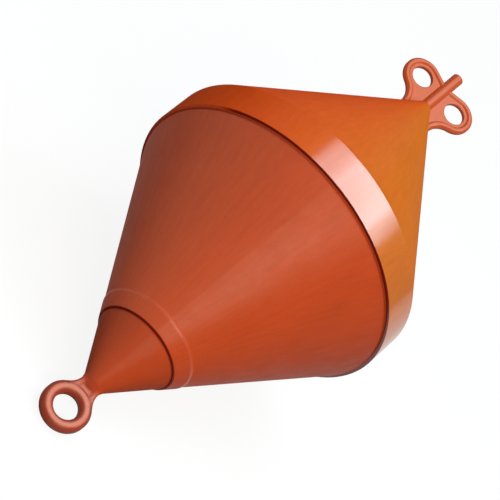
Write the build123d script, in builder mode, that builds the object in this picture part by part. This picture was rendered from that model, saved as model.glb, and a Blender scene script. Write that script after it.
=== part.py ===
"""Biconical marker buoy: two lapped cone shells, a nose with the mooring eye, and two top eyes by a post.

Each piece is drawn upright on the buoy's own axis, with heights from the equator seam, and is laid down
at the end as the buoy comes to rest, on the rim of its band and on the mooring eye, which lies flat.
Lengths are in millimetres.
"""

import math
import os

from build123d import *

# Shells
WALL = 3.5
CLEARANCE = 0.3  # between lapped walls

BAND_RADIUS = 160.0  # at the equator seam, half of the width across the buoy
BAND_HEIGHT = 39.0
BAND_LIP = 2.0  # the band overhangs the lower shell by this
BAND_WALL = 5.5
SEAM_GAP = 2.5  # groove below the band, down to the spigot
LAP_HEIGHT = 22.0  # spigot of the lower shell inside the band

TOP_APEX = 286.5  # height at which the upper cone would close
TIP_RADIUS = 6.8  # flat on the upper cone's tip, the seat of the post
TIP_DEPTH = 20.0  # solid behind that flat
STEM_RADIUS = 4.5  # stem below the post, in the tip's bore

NOSE_SEAM = -188.0
NOSE_RADIUS = 47.0  # nose cone at its seam
NOSE_HALF_ANGLE = 30.3  # degrees
NOSE_END_RADIUS = 10.0
NOSE_HOLLOW = 37.0  # depth of the hollow below the nose seam
NOSE_LAP = 12.0
COLLAR_HEIGHT = 16.0
COLLAR_PROUD = 1.2

# Eyes: holes in thin webs with beads on their edges, which flare onto the cones. A bead's width and depth
# are measured from its middle.
MOORING_EYE_DROP = 18.1  # below the point at which the nose cone would close
MOORING_RIM_RADIUS = 19.4  # to the middle of the rim's section
MOORING_RIM = 6.2  # from there to the section's flats
RIM_FLATS = 8
MOORING_BORE = 13.4
MOORING_WEB = 6.0
MOORING_FLARE = 21.0
MOORING_BEAD = 3.0
MOORING_BEAD_DEPTH = 5.0

TOP_EYE_RISE = 11.9  # above the point at which the upper cone would close
TOP_EYE_REACH = 26.0  # from the axis to the middle of each eye
TOP_EYE_RADIUS = 22.6  # outside
TOP_BORE = 12.2
TOP_WEB = 4.4
TOP_FLARE = 22.0
TOP_BEAD = 3.8
TOP_BEAD_DEPTH = 3.8
TOP_RIDGE_RISE = 13.1  # middle of the bead where it meets the post, above the middle of the eyes
POST_RADIUS = 6.6
POST_RISE = 49.5  # above the point at which the upper cone would close
POST_CHAMFER = 0.8

SINK = 0.6  # the flares run into the cones by this

# Sizes that follow from these
top_slope = BAND_RADIUS / (TOP_APEX - BAND_HEIGHT)
top_half_angle = math.degrees(math.atan(top_slope))
top_wall = WALL * math.hypot(1, top_slope)
tip_height = TOP_APEX - TIP_RADIUS / top_slope
top_eye_height = TOP_APEX + TOP_EYE_RISE

nose_slope = math.tan(math.radians(NOSE_HALF_ANGLE))
nose_wall = WALL * math.hypot(1, nose_slope)
nose_apex = NOSE_SEAM - NOSE_RADIUS / nose_slope
nose_end = nose_apex + NOSE_END_RADIUS / nose_slope
mooring_height = nose_apex - MOORING_EYE_DROP
nose_bore = NOSE_RADIUS - nose_wall  # collar's bore over the nose spigot
nose_spigot = nose_bore - CLEARANCE
lap_floor = NOSE_SEAM + NOSE_LAP

lower_radius = BAND_RADIUS - BAND_LIP
lower_slope = (lower_radius - NOSE_RADIUS) / -NOSE_SEAM
lower_wall = WALL * math.hypot(1, lower_slope)
collar_top = NOSE_SEAM + COLLAR_HEIGHT
lap_bore = BAND_RADIUS - BAND_WALL
lap_radius = lap_bore - CLEARANCE
lap_inside = lap_radius - WALL


def lower_cone(height):
    """Outside radius of the lower shell's cone at a height."""
    return lower_radius + lower_slope * height


def flare(eye, eye_radius, apex, lean, radius):
    """Centre of the arc from an eye's outside onto a cone's side, with its angle as seen from the eye.

    The lean is the angle of the cone's outward normal, positive where the apex is uppermost.
    """
    slope = math.radians(lean)
    reach = eye_radius + radius
    stand_off = eye[0] * math.cos(slope) + (eye[1] - apex) * math.sin(slope)
    swing = math.degrees(math.acos((radius - SINK - stand_off) / reach))
    angle = lean - math.copysign(swing, lean)
    across = eye[0] + reach * math.cos(math.radians(angle))
    up = eye[1] + reach * math.sin(math.radians(angle))
    return (across, up), angle


def bead(path, width, depth):
    """Bead of eight-sided section along a path in the plane of an eye, with its depth along the bore."""
    corner = (2 - math.sqrt(2)) * min(width, depth)
    with BuildPart() as piece:
        with BuildSketch(Plane(path @ 0, x_dir=(0, 1, 0), z_dir=path % 0)):
            section = Rectangle(2 * depth, 2 * width)
            chamfer(section.vertices(), corner)
        sweep(path=path)
    return piece.part


# Lower shell: cone with the collar at its nose end and a spigot above its shoulder
with BuildPart() as lower_shell:
    with BuildSketch(Plane.YZ):
        with BuildLine():
            Polyline(
                (nose_bore, NOSE_SEAM),
                (NOSE_RADIUS + COLLAR_PROUD, NOSE_SEAM),
                (lower_cone(collar_top) + COLLAR_PROUD, collar_top),
                (lower_cone(collar_top + COLLAR_PROUD), collar_top + COLLAR_PROUD),
                (lower_cone(-SEAM_GAP), -SEAM_GAP),
                (lap_radius, -SEAM_GAP),
                (lap_radius, LAP_HEIGHT),
                (lap_inside, LAP_HEIGHT),
                (lap_inside, (lap_inside + lower_wall - lower_radius) / lower_slope),
                (lower_cone(lap_floor) - lower_wall, lap_floor),
                (nose_bore, lap_floor),
                close=True,
            )
        make_face()
    revolve(axis=Axis.Z)

# Upper shell: band and cone, with a bored tip
tip_floor = tip_height - TIP_DEPTH
with BuildPart() as upper_shell:
    with BuildSketch(Plane.YZ):
        with BuildLine():
            Polyline(
                (BAND_RADIUS, 0),
                (BAND_RADIUS, BAND_HEIGHT),
                (TIP_RADIUS, tip_height),
                (STEM_RADIUS + CLEARANCE, tip_height),
                (STEM_RADIUS + CLEARANCE, tip_floor),
                ((TOP_APEX - tip_floor) * top_slope - top_wall, tip_floor),
                (lap_bore, TOP_APEX - (lap_bore + top_wall) / top_slope),
                (lap_bore, 0),
                close=True,
            )
        make_face()
    revolve(axis=Axis.Z)

# Nose with the mooring eye
hollow_floor = NOSE_SEAM - NOSE_HOLLOW
mooring_eye = (0, mooring_height)
mooring_flare, mooring_angle = flare(
    mooring_eye, MOORING_RIM_RADIUS + MOORING_RIM, nose_apex, -NOSE_HALF_ANGLE, MOORING_FLARE
)
with BuildLine(Plane.XZ) as mooring_edge:
    CenterArc(
        mooring_flare, MOORING_FLARE + MOORING_BEAD, 180 + mooring_angle, -NOSE_HALF_ANGLE - mooring_angle
    )
mooring_bead = bead(mooring_edge.line, MOORING_BEAD, MOORING_BEAD_DEPTH)
rim_corner = MOORING_RIM / math.cos(math.pi / RIM_FLATS)
rim_angles = [math.pi / RIM_FLATS * (2 * flat + 1) for flat in range(RIM_FLATS)]
rim_section = [
    (MOORING_RIM_RADIUS + rim_corner * math.cos(angle), rim_corner * math.sin(angle))
    for angle in rim_angles
]
with BuildPart() as nose_eye:
    with BuildSketch(Plane.XZ):
        with BuildLine():
            Polyline(
                (0, nose_end - NOSE_END_RADIUS / 2),
                (NOSE_END_RADIUS / 2, nose_end - NOSE_END_RADIUS / 2),
                (NOSE_END_RADIUS, nose_end),
                (NOSE_RADIUS, NOSE_SEAM),
                (nose_spigot, NOSE_SEAM),
                (nose_spigot, lap_floor),
                (nose_spigot - WALL, lap_floor),
                (nose_spigot - WALL, NOSE_SEAM),
                ((hollow_floor - nose_apex) * nose_slope - nose_wall, hollow_floor),
                (0, hollow_floor),
                close=True,
            )
        make_face()
    revolve(axis=Axis.Z)
    with BuildSketch(Plane.XZ):
        with BuildLine():
            Polyline(
                (-mooring_flare[0], mooring_flare[1]),
                (-NOSE_END_RADIUS, nose_end + NOSE_END_RADIUS),
                (NOSE_END_RADIUS, nose_end + NOSE_END_RADIUS),
                mooring_flare,
                mooring_eye,
                close=True,
            )
        make_face()
        with Locations(mooring_flare, (-mooring_flare[0], mooring_flare[1])):
            Circle(MOORING_FLARE + MOORING_BEAD, mode=Mode.SUBTRACT)
        with Locations(mooring_eye):
            Circle(MOORING_RIM_RADIUS, mode=Mode.SUBTRACT)
    extrude(amount=MOORING_WEB / 2, both=True)
    with PolarLocations(0, 2):
        add(mooring_bead)
    with BuildSketch(Plane.XY.offset(mooring_height)):
        with BuildLine():
            Polyline(*rim_section, close=True)
        make_face()
    revolve(axis=Axis((0, 0, mooring_height), (0, 1, 0)))
    with Locations(Location((0, 0, mooring_height), (90, 0, 0))):
        Cylinder(MOORING_BORE, 4 * MOORING_RIM, mode=Mode.SUBTRACT)

# Top eyes: a plate with an eye on each side of the post, seated on the upper cone with a stem in its tip.
# The bead on its edge runs up from the cone, round the eye and down to the post.
top_eye = (TOP_EYE_REACH, top_eye_height)
top_flare, top_angle = flare(top_eye, TOP_EYE_RADIUS, TOP_APEX, top_half_angle, TOP_FLARE)
edge_radius = TOP_EYE_RADIUS - TOP_BEAD
ridge_end = (POST_RADIUS / 2, top_eye_height + TOP_RIDGE_RISE)
ridge_across = ridge_end[0] - TOP_EYE_REACH
ridge_swing = math.acos(edge_radius / math.hypot(ridge_across, TOP_RIDGE_RISE))
ridge_angle = math.degrees(math.atan2(TOP_RIDGE_RISE, ridge_across) - ridge_swing)
with BuildLine(Plane.XZ) as top_edge:
    CenterArc(top_flare, TOP_FLARE + TOP_BEAD, 180 + top_half_angle, top_angle - top_half_angle)
    eye_arc = CenterArc(top_eye, edge_radius, top_angle, ridge_angle - top_angle)
    Line(eye_arc @ 1, Plane.XZ.from_local_coords((*ridge_end, 0)))
top_bead = bead(top_edge.line, TOP_BEAD, TOP_BEAD_DEPTH)
ridge_start = Plane.XZ.to_local_coords(eye_arc @ 1)
seat_gap = CLEARANCE * math.hypot(1, top_slope)
stem_floor = tip_floor - WALL
seat_floor = top_flare[1] - TOP_FLARE
post_top = TOP_APEX + POST_RISE
with BuildPart() as top_eyes:
    with BuildSketch(Plane.XZ):
        with BuildLine():
            Polyline(
                (0, stem_floor),
                (0, ridge_end[1]),
                ridge_end,
                (ridge_start.X, ridge_start.Y),
                top_eye,
                top_flare,
                (top_flare[0], stem_floor),
                close=True,
            )
        make_face()
        with Locations(top_flare):
            Circle(TOP_FLARE + TOP_BEAD, mode=Mode.SUBTRACT)
        with Locations(top_eye):
            Circle(edge_radius)
        mirror(about=Plane.YZ)
    extrude(amount=TOP_WEB / 2, both=True)
    with PolarLocations(0, 2):
        add(top_bead)
    with BuildSketch(Plane.XZ):
        with BuildLine():
            Polyline(
                (0, seat_floor),
                (0, tip_height),
                (TIP_RADIUS + seat_gap, tip_height),
                ((TOP_APEX - seat_floor) * top_slope + seat_gap, seat_floor),
                close=True,
            )
        make_face()
    revolve(axis=Axis.Z, mode=Mode.SUBTRACT)
    with BuildSketch(Plane.XZ):
        with BuildLine():
            Polyline(
                (0, stem_floor),
                (STEM_RADIUS, stem_floor),
                (STEM_RADIUS, tip_height),
                (POST_RADIUS, tip_height),
                (POST_RADIUS, post_top - POST_CHAMFER),
                (POST_RADIUS - POST_CHAMFER, post_top),
                (0, post_top),
                close=True,
            )
        make_face()
    revolve(axis=Axis.Z)
    with PolarLocations(0, 2):
        with Locations(Location((TOP_EYE_REACH, 0, top_eye_height), (90, 0, 0))):
            Cylinder(TOP_BORE, 4 * TOP_BEAD_DEPTH, mode=Mode.SUBTRACT)

# The buoy lies with its nose toward -X, centred along X, and with the mooring eye flat along Y. The slope
# of its axis puts both the band's rim and the first corner of the mooring eye's rim on the floor.
slope = min(math.atan2(BAND_RADIUS - deep, reach - mooring_height) for reach, deep in rim_section)
axis = Vector(math.cos(slope), 0, math.sin(slope))
upright = {
    "lower_shell": lower_shell.part,
    "upper_shell": upper_shell.part,
    "nose_eye": nose_eye.part,
    "top_eyes": top_eyes.part,
}
lying = Plane((0, 0, BAND_RADIUS * math.cos(slope)), x_dir=(0, 1, 0), z_dir=axis).location
extent = Compound([piece.moved(lying) for piece in upright.values()]).bounding_box()
rest = Location((-extent.center().X, 0, 0)) * lying

os.makedirs("parts", exist_ok=True)
for name, piece in upright.items():
    laid = piece.moved(rest)
    laid.label = name
    export_step(laid, f"parts/{name}.step")
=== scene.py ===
"""Marker buoy lying on a pale floor: the photograph's view, soft studio light and moulded plastics."""

import math
from typing import NamedTuple

import bpy
from mathutils import Matrix, Vector


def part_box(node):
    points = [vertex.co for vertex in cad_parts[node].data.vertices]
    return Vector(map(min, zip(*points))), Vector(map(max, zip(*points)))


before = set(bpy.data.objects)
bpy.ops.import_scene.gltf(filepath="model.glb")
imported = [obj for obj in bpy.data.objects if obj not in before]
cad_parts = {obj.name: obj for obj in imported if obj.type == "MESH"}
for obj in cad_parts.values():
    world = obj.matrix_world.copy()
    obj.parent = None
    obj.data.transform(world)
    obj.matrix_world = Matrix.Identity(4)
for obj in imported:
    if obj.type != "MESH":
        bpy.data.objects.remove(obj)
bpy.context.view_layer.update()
scene = bpy.context.scene

# The buoy's own axis rises from +X, and its eyes lie level along Y. Heights run along the axis, from the
# seam at the equator.
SLOPE = math.radians(26.4982)
BAND_RADIUS = 0.160
BAND_HEIGHT = 0.039
NOSE_SEAM = -0.188
COLLAR_TOP = -0.172
EYES_FROM = 0.252  # height, above or below, at which the eyes begin to leave the cones
along = Vector((math.cos(SLOPE), 0, math.sin(SLOPE)))
across = Vector((0, -1, 0))
upper = Vector((-math.sin(SLOPE), 0, math.cos(SLOPE)))
band_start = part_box("upper_shell")[0].x
seam = Vector((band_start + BAND_RADIUS * math.sin(SLOPE), 0, BAND_RADIUS * math.cos(SLOPE)))

# View: the axis tilts away from the picture's plane and slopes up to the right in the picture
VIEW_TILT = math.radians(34.3)
VIEW_TURN = math.radians(39.82)
VIEW_DISTANCE = 2.3895
VIEW_SHIFT = (0.0104, -0.0059)  # of the seam's middle, right and down in the picture
LENS = 172.8
SENSOR = 36

# Stage, with brightness as a share of white
FLOOR_REACH = 30.0
FLOOR_DROP = 0.0004  # below the buoy's lowest point
FLOOR_GLOW = 0.89  # where the floor is seen
FLOOR_MATT = 0.13  # share of the lamps' light that the floor gives back
SKY = 0.2


def make_camera():
    """Puts the camera at the photograph's angle to the buoy."""
    forward = math.sin(VIEW_TILT) * along - math.cos(VIEW_TILT) * upper
    rise = math.cos(VIEW_TILT) * along + math.sin(VIEW_TILT) * upper
    right = math.cos(VIEW_TURN) * rise + math.sin(VIEW_TURN) * across
    down = math.cos(VIEW_TURN) * across - math.sin(VIEW_TURN) * rise
    data = bpy.data.cameras.new("view")
    data.lens = LENS
    data.sensor_width = SENSOR
    data.clip_start = 0.05
    data.clip_end = 100
    camera = bpy.data.objects.new("view", data)
    place = seam - VIEW_SHIFT[0] * right - VIEW_SHIFT[1] * down - VIEW_DISTANCE * forward
    turn = Matrix((right, -down, -forward)).transposed()
    camera.matrix_world = Matrix.Translation(place) @ turn.to_4x4()
    scene.collection.objects.link(camera)
    scene.camera = camera


class Softbox(NamedTuple):
    """Rectangular lamp of a given brightness that faces a target, with its width along a side."""

    name: str
    place: tuple
    target: tuple
    side: tuple
    width: float
    height: float
    radiance: float
    colour: tuple = (1, 1, 1)


def add_softbox(box):
    """Hangs up a lamp, which the camera doesn't see."""
    data = bpy.data.lights.new(box.name, "AREA")
    data.shape = "RECTANGLE"
    data.size = box.width
    data.size_y = box.height
    data.energy = box.radiance * math.pi * box.width * box.height
    data.color = box.colour
    lamp = bpy.data.objects.new(box.name, data)
    back = (Vector(box.place) - Vector(box.target)).normalized()
    tall = back.cross(Vector(box.side)).normalized()
    turn = Matrix((tall.cross(back), tall, back)).transposed()
    lamp.matrix_world = Matrix.Translation(box.place) @ turn.to_4x4()
    lamp.visible_camera = False
    scene.collection.objects.link(lamp)


class Tree:
    """Short calls for building a node tree."""

    def __init__(self, tree):
        self.tree = tree
        tree.nodes.clear()

    def put(self, value, socket):
        """Links a socket to another, or sets it to a constant."""
        if isinstance(value, bpy.types.NodeSocket):
            self.tree.links.new(value, socket)
        else:
            socket.default_value = value

    def node(self, kind, inputs=None, **settings):
        made = self.tree.nodes.new(kind)
        for key, value in settings.items():
            setattr(made, key, value)
        for key, value in (inputs or {}).items():
            self.put(value, made.inputs[key])
        return made

    def math(self, operation, *values):
        return self.node("ShaderNodeMath", dict(enumerate(values)), operation=operation).outputs[0]

    def product(self, first, *others):
        """Product of several masks."""
        for other in others:
            first = self.math("MULTIPLY", first, other)
        return first

    def vector(self, operation, *values):
        return self.node("ShaderNodeVectorMath", dict(enumerate(values)), operation=operation)

    def noise(self, vector, scale, detail, roughness=0.5):
        inputs = {"Vector": vector, "Scale": scale, "Detail": detail, "Roughness": roughness}
        return self.node("ShaderNodeTexNoise", inputs).outputs["Fac"]

    def spread(self, value, low, high):
        """Noise, which keeps near a half, spread out between two values."""
        inputs = {"Value": value, "From Min": 0.3, "From Max": 0.7, "To Min": low, "To Max": high}
        return self.node("ShaderNodeMapRange", inputs).outputs[0]

    def ramp(self, value, start, stop):
        """Smooth rise from zero at a start to one at a stop."""
        inputs = {"Value": value, "From Min": start, "From Max": stop}
        return self.node("ShaderNodeMapRange", inputs, interpolation_type="SMOOTHSTEP").outputs[0]

    def mix(self, factor, first, second, blend="MIX"):
        made = self.node("ShaderNodeMix", data_type="RGBA", blend_type=blend)
        colour_inputs = (made.inputs[0], made.inputs[6], made.inputs[7])
        for socket, value in zip(colour_inputs, (factor, first, second)):
            self.put(value, socket)
        return made.outputs[2]


# The way round the axis runs from -1 toward -Y to 1 toward +Y
ALL_ROUND = 2.0  # past its end
# Painted shade: the far colour is the pigment as it looks in shade, on the side toward +Y
PIGMENT_TURN = (-0.5, 0.85)  # the pigment goes from its near to its far colour over this
RING_FADE = 0.12  # a ring ends over this much of it
POLISH_FADE = 0.4  # and polish over this much

RING_EDGE = 0.0003  # radii over which a ring begins
RING_COVER = 0.95  # how much of the pigment a ring hides
POLISH_EDGE = 0.0004  # heights over which polish begins and ends
EYES_FADE = 0.012  # heights over which the colours of the eyes begin
# Crests that face this squarely along the bores get the painted highlight
CREST = (0.88, 0.998)  # how squarely a crest faces along the bores of the eyes
CLOUDS = 0.035  # strength in the pigment
GRAIN = 0.04
SCUFFS = 0.25  # strength in the clear skin
SKIN_LOSS = 2.0  # share of the far colour at which the skin would be gone: at one, it is halved


class Ring(NamedTuple):
    """Coloured ring round the buoy's axis, seen from a radius outward."""

    level: float
    reach: float
    colour: tuple
    inner: float = 0.0
    last: float = ALL_ROUND  # where it ends on the way round


class Polish(NamedTuple):
    """Stretch of the buoy's axis with more clear skin on it."""

    top: float
    weight: float
    bottom: float = -1.0  # below the whole buoy
    last: float = ALL_ROUND


class EyeShading(NamedTuple):
    """Painted shading of the eyes: painted shade on the flanks, a painted highlight on the crests."""

    flank: tuple
    crest: tuple


class Plastic(NamedTuple):
    """Look of one moulded piece: a pigment with painted shade on the side toward +Y, made uneven by the
    moulding's flow, under a clear skin.
    """

    name: str
    near: tuple  # pigment on the side toward -Y
    # Painted shade: the far colour is a shaded copy of the pigment
    far: tuple  # and on the other side
    shine: float  # weight of the clear skin
    skin_roughness: float
    streak: float  # strength of the flow streaks
    rounding: float = 0.0  # radius to which the shading rounds edges
    polish: Polish = None
    eye_shading: EyeShading = None  # needs rounding
    rings: tuple = ()


class Space(NamedTuple):
    """Sockets for a place on the buoy, with its axis upright."""

    point: bpy.types.NodeSocket
    height: bpy.types.NodeSocket
    radius: bpy.types.NodeSocket
    side: bpy.types.NodeSocket  # direction from the axis
    turn: bpy.types.NodeSocket  # way round the axis


def buoy_space(tree):
    """Place on the buoy, from the middle of the equator seam."""
    place = tree.node("ShaderNodeTexCoord").outputs["Object"]
    pose = {"Vector": place, "Location": seam, "Rotation": (0, math.pi / 2 - SLOPE, 0)}
    point = tree.node("ShaderNodeMapping", pose, vector_type="TEXTURE").outputs[0]
    flat = tree.vector("MULTIPLY", point, (1, 1, 0)).outputs[0]
    side = tree.vector("NORMALIZE", flat).outputs[0]
    return Space(
        point=point,
        height=tree.node("ShaderNodeSeparateXYZ", {0: point}).outputs["Z"],
        radius=tree.vector("LENGTH", flat).outputs["Value"],
        side=side,
        turn=tree.node("ShaderNodeSeparateXYZ", {0: side}).outputs["Y"],
    )


class Flow(NamedTuple):
    """Sockets for the unevenness of a moulding."""

    streaks: bpy.types.NodeSocket
    clouds: bpy.types.NodeSocket
    grain: bpy.types.NodeSocket
    scuffs: bpy.types.NodeSocket


def moulding_flow(tree, space):
    """Streaks down the cone, clouds in the pigment, mould grain and scuffs.

    The streaks follow the direction round the axis, and hardly the height.
    """
    lean = tree.vector("MULTIPLY", space.point, (0, 0, 1.5)).outputs[0]
    round_axis = tree.vector("ADD", space.side, lean).outputs[0]
    return Flow(
        streaks=tree.noise(round_axis, scale=26, detail=4, roughness=0.65),
        clouds=tree.noise(space.point, scale=14, detail=2),
        grain=tree.noise(space.point, scale=900, detail=2),
        scuffs=tree.noise(space.point, scale=60, detail=6, roughness=0.7),
    )


def paint_eye_shading(tree, pigment, eye_shading, space, normal):
    """Gives the eyes their colours, with a painted highlight on crests that face along the bores and
    painted shade on the flanks.
    """
    facing = tree.vector("DOT_PRODUCT", normal, tuple(upper)).outputs["Value"]
    crest = tree.ramp(tree.math("ABSOLUTE", facing), *CREST)
    eye_light_and_shade = tree.mix(crest, (*eye_shading.flank, 1), (*eye_shading.crest, 1))
    at_eyes = tree.ramp(tree.math("ABSOLUTE", space.height), EYES_FROM, EYES_FROM + EYES_FADE)
    return tree.mix(at_eyes, pigment, eye_light_and_shade)


def uneven(tree, pigment, flow, streak):
    """Makes a pigment lighter and darker with the flow of the moulding."""
    level = tree.spread(flow.streaks, -streak, streak)
    level = tree.math("ADD", level, tree.spread(flow.clouds, -CLOUDS, CLOUDS))
    level = tree.math("ADD", level, tree.spread(flow.grain, 1 - GRAIN, 1 + GRAIN))
    grey = tree.node("ShaderNodeCombineColor", {0: level, 1: level, 2: level}).outputs[0]
    return tree.mix(1.0, pigment, grey, "MULTIPLY")


def ringed(tree, pigment, ring, space):
    """Lays a coloured ring over a pigment."""
    off_level = tree.math("ABSOLUTE", tree.math("SUBTRACT", space.height, ring.level))
    shown = tree.product(
        tree.ramp(off_level, ring.reach, 0.5 * ring.reach),
        tree.ramp(space.radius, ring.inner, ring.inner + RING_EDGE),
        tree.ramp(space.turn, ring.last, ring.last - RING_FADE),
        RING_COVER,
    )
    return tree.mix(shown, pigment, (*ring.colour, 1))


def skin_weight(tree, look, space, flow, shaded_side):
    """Weight of the clear skin, which is scuffed, polished in places and thinner on the far side."""
    weight = tree.math("MULTIPLY", tree.spread(flow.scuffs, 1 - SCUFFS, 1 + SCUFFS), look.shine)
    if look.polish:
        polish = look.polish
        polished = tree.product(
            tree.ramp(space.height, polish.top, polish.top - POLISH_EDGE),
            tree.ramp(space.height, polish.bottom, polish.bottom + POLISH_EDGE),
            tree.ramp(space.turn, polish.last, polish.last - POLISH_FADE),
            polish.weight,
        )
        weight = tree.math("MAXIMUM", weight, polished)
    return tree.math("MULTIPLY", weight, tree.ramp(shaded_side, SKIN_LOSS, 0))


def moulded_plastic(look):
    """Satin moulded plastic: flow streaks along the cone, cloudy pigment, mould grain and a clear skin,
    with painted shade on one side, in the seams and on the eyes' flanks, and painted highlights on the
    eyes' crests.
    """
    material = bpy.data.materials.new(look.name)
    material.use_nodes = True
    tree = Tree(material.node_tree)
    space = buoy_space(tree)
    flow = moulding_flow(tree, space)
    shaded_side = tree.ramp(space.turn, *PIGMENT_TURN)

    surface = {"Roughness": 0.5, "Specular IOR Level": 0.0, "Coat IOR": 1.5}
    surface["Coat Roughness"] = look.skin_roughness
    bumps = tree.math("ADD", flow.grain, tree.math("MULTIPLY", flow.streaks, 0.6))
    relief = {"Strength": 0.35, "Distance": 0.00012, "Height": bumps}
    if look.rounding:
        rounded = tree.node("ShaderNodeBevel", {"Radius": look.rounding}, samples=8).outputs[0]
        relief["Normal"] = rounded
        surface["Coat Normal"] = rounded
    surface["Normal"] = tree.node("ShaderNodeBump", relief).outputs[0]

    # Painted shade: the pigment turns to its shaded copy on the side toward +Y
    pigment = tree.mix(shaded_side, (*look.near, 1), (*look.far, 1))
    if look.eye_shading:
        # Painted highlight on the eyes' crests, painted shade on their flanks
        pigment = paint_eye_shading(tree, pigment, look.eye_shading, space, rounded)
    pigment = uneven(tree, pigment, flow, look.streak)
    for ring in look.rings:
        pigment = ringed(tree, pigment, ring, space)
    surface["Base Color"] = pigment
    surface["Coat Weight"] = skin_weight(tree, look, space, flow, shaded_side)

    shader = tree.node("ShaderNodeBsdfPrincipled", surface)
    tree.node("ShaderNodeOutputMaterial", {"Surface": shader.outputs[0]})
    return material


def seen_directly(tree):
    """One for rays that show the background, straight, mirrored or through glass."""
    path = tree.node("ShaderNodeLightPath").outputs
    seen = tree.math("MAXIMUM", path["Is Camera Ray"], path["Is Glossy Ray"])
    return tree.math("MAXIMUM", seen, path["Is Transmission Ray"])


def floor_look():
    """Matt floor that also glows where it is seen, so that it reads white and keeps the buoy's shadow."""
    material = bpy.data.materials.new("floor_pale")
    material.use_nodes = True
    tree = Tree(material.node_tree)
    strength = tree.math("MULTIPLY", seen_directly(tree), FLOOR_GLOW)
    glow = tree.node("ShaderNodeEmission", {"Color": (1, 1, 1, 1), "Strength": strength})
    matt = tree.node("ShaderNodeBsdfDiffuse", {"Color": (FLOOR_MATT, FLOOR_MATT, FLOOR_MATT, 1)})
    both = tree.node("ShaderNodeAddShader", {0: glow.outputs[0], 1: matt.outputs[0]})
    tree.node("ShaderNodeOutputMaterial", {"Surface": both.outputs[0]})
    return material


def make_stage():
    """Pale floor in an even surround of weak light."""
    mesh = bpy.data.meshes.new("floor")
    reach = FLOOR_REACH
    corners = [(-reach, -reach, 0), (reach, -reach, 0), (reach, reach, 0), (-reach, reach, 0)]
    mesh.from_pydata(corners, [], [(0, 1, 2, 3)])
    mesh.materials.append(floor_look())
    floor = bpy.data.objects.new("floor", mesh)
    floor.location.z = -FLOOR_DROP
    scene.collection.objects.link(floor)

    world = bpy.data.worlds.new("surround")
    scene.world = world
    world.use_nodes = True
    tree = Tree(world.node_tree)
    sky = tree.node("ShaderNodeBackground", {"Color": (1, 1, 1, 1), "Strength": SKY})
    tree.node("ShaderNodeOutputWorld", {"Surface": sky.outputs[0]})


COOL = (0.82, 0.97, 1.1)
WARM = (1.0, 0.95, 0.7)
STRIP = {"target": (-0.03, 0.0, 0.29), "side": (-0.15, 1, 0), "height": 0.24, "colour": COOL}
SOFTBOXES = (
    # Overhead strips, which the band mirrors, the shorter one for a brighter middle
    Softbox("overhead", place=(0.32, -0.37, 1.79), width=2.0, radiance=8.4, **STRIP),
    Softbox("overhead_core", place=(0.32, -0.42, 1.78), width=1.1, radiance=7.4, **STRIP),
    # Box beside the camera, whose sheen lies along the lower cone
    Softbox(
        "front", place=(-1.74, -0.64, 1.31), target=(-0.1, 0.0, 0.13), side=(0.284, -1.149, -0.226),
        width=1.2, height=0.42, radiance=14.0, colour=WARM,
    ),
    # Weak fills on the far side and behind
    Softbox(
        "fill", place=(0.1, 1.9, 0.35), target=(0.0, 0.1, 0.15), side=(1, 0, 0),
        width=1.4, height=0.7, radiance=1.2,
    ),
    Softbox(
        "fill_behind", place=(2.0, 0.5, 0.5), target=(0.1, 0.0, 0.15), side=(0, 1, 0),
        width=1.6, height=0.8, radiance=1.3,
    ),
)

# Marks on the pieces: painted shade in the seams, and a red lip inside the painted shade below the band
SEAM_SHADE = (0.22, 0.012, 0.004)
LIP = (0.70, 0.100, 0.035)
LINE = 0.0005  # reach of a thin ring
NOSE_SEAM_SHADE = 0.0017
BAND_SHADE = 0.0037  # width of the painted shade below the band
COLLAR_EDGE = (-0.0022, 0.0008)  # polished, from the collar's top

LOOKS = {
    "lower_shell": Plastic(
        "lower_plastic",
        near=(0.665, 0.081, 0.020),
        far=(0.68, 0.120, 0.054),
        shine=0.33,
        skin_roughness=0.38,
        streak=0.055,
        rounding=0.003,
        polish=Polish(COLLAR_TOP + COLLAR_EDGE[1], weight=1.0, bottom=COLLAR_TOP + COLLAR_EDGE[0]),
        # Painted shade in the nose seam
        rings=(Ring(NOSE_SEAM, LINE, SEAM_SHADE),),
    ),
    "upper_shell": Plastic(
        "upper_plastic",
        near=(0.685, 0.165, 0.019),
        far=(0.83, 0.094, 0.013),
        shine=0.03,
        skin_roughness=0.18,
        streak=0.06,
        polish=Polish(BAND_HEIGHT, weight=1.0, last=0.8),
        rings=(
            Ring(0.0, LINE, LIP),
            # Painted shade under the band's edge, outside the red lip
            Ring(0.0, LINE, SEAM_SHADE, inner=BAND_RADIUS - BAND_SHADE, last=0.82),
        ),
    ),
    "nose_eye": Plastic(
        "nose_plastic",
        near=(0.59, 0.075, 0.022),
        far=(0.57, 0.092, 0.040),
        shine=0.10,
        skin_roughness=0.28,
        streak=0.045,
        rounding=0.007,
        polish=Polish(-EYES_FROM, weight=0.35),
        # Painted shade on the flanks and a painted highlight on the crests
        eye_shading=EyeShading(flank=(0.40, 0.060, 0.036), crest=(0.82, 0.28, 0.20)),
        # Painted shade in the nose seam
        rings=(Ring(NOSE_SEAM, NOSE_SEAM_SHADE, SEAM_SHADE),),
    ),
    "top_eyes": Plastic(
        "eye_plastic",
        near=(0.58, 0.100, 0.032),
        far=(0.62, 0.100, 0.028),
        shine=0.4,
        skin_roughness=0.22,
        streak=0.03,
        rounding=0.002,
        # Painted shade on the flanks and a painted highlight on the crests
        eye_shading=EyeShading(flank=(0.60, 0.100, 0.030), crest=(0.76, 0.195, 0.105)),
    ),
}

make_camera()
make_stage()
for box in SOFTBOXES:
    add_softbox(box)
for node, look in LOOKS.items():
    plastic = moulded_plastic(look)
    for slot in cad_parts[node].material_slots:
        slot.material = plastic

scene.view_settings.view_transform = "Standard"
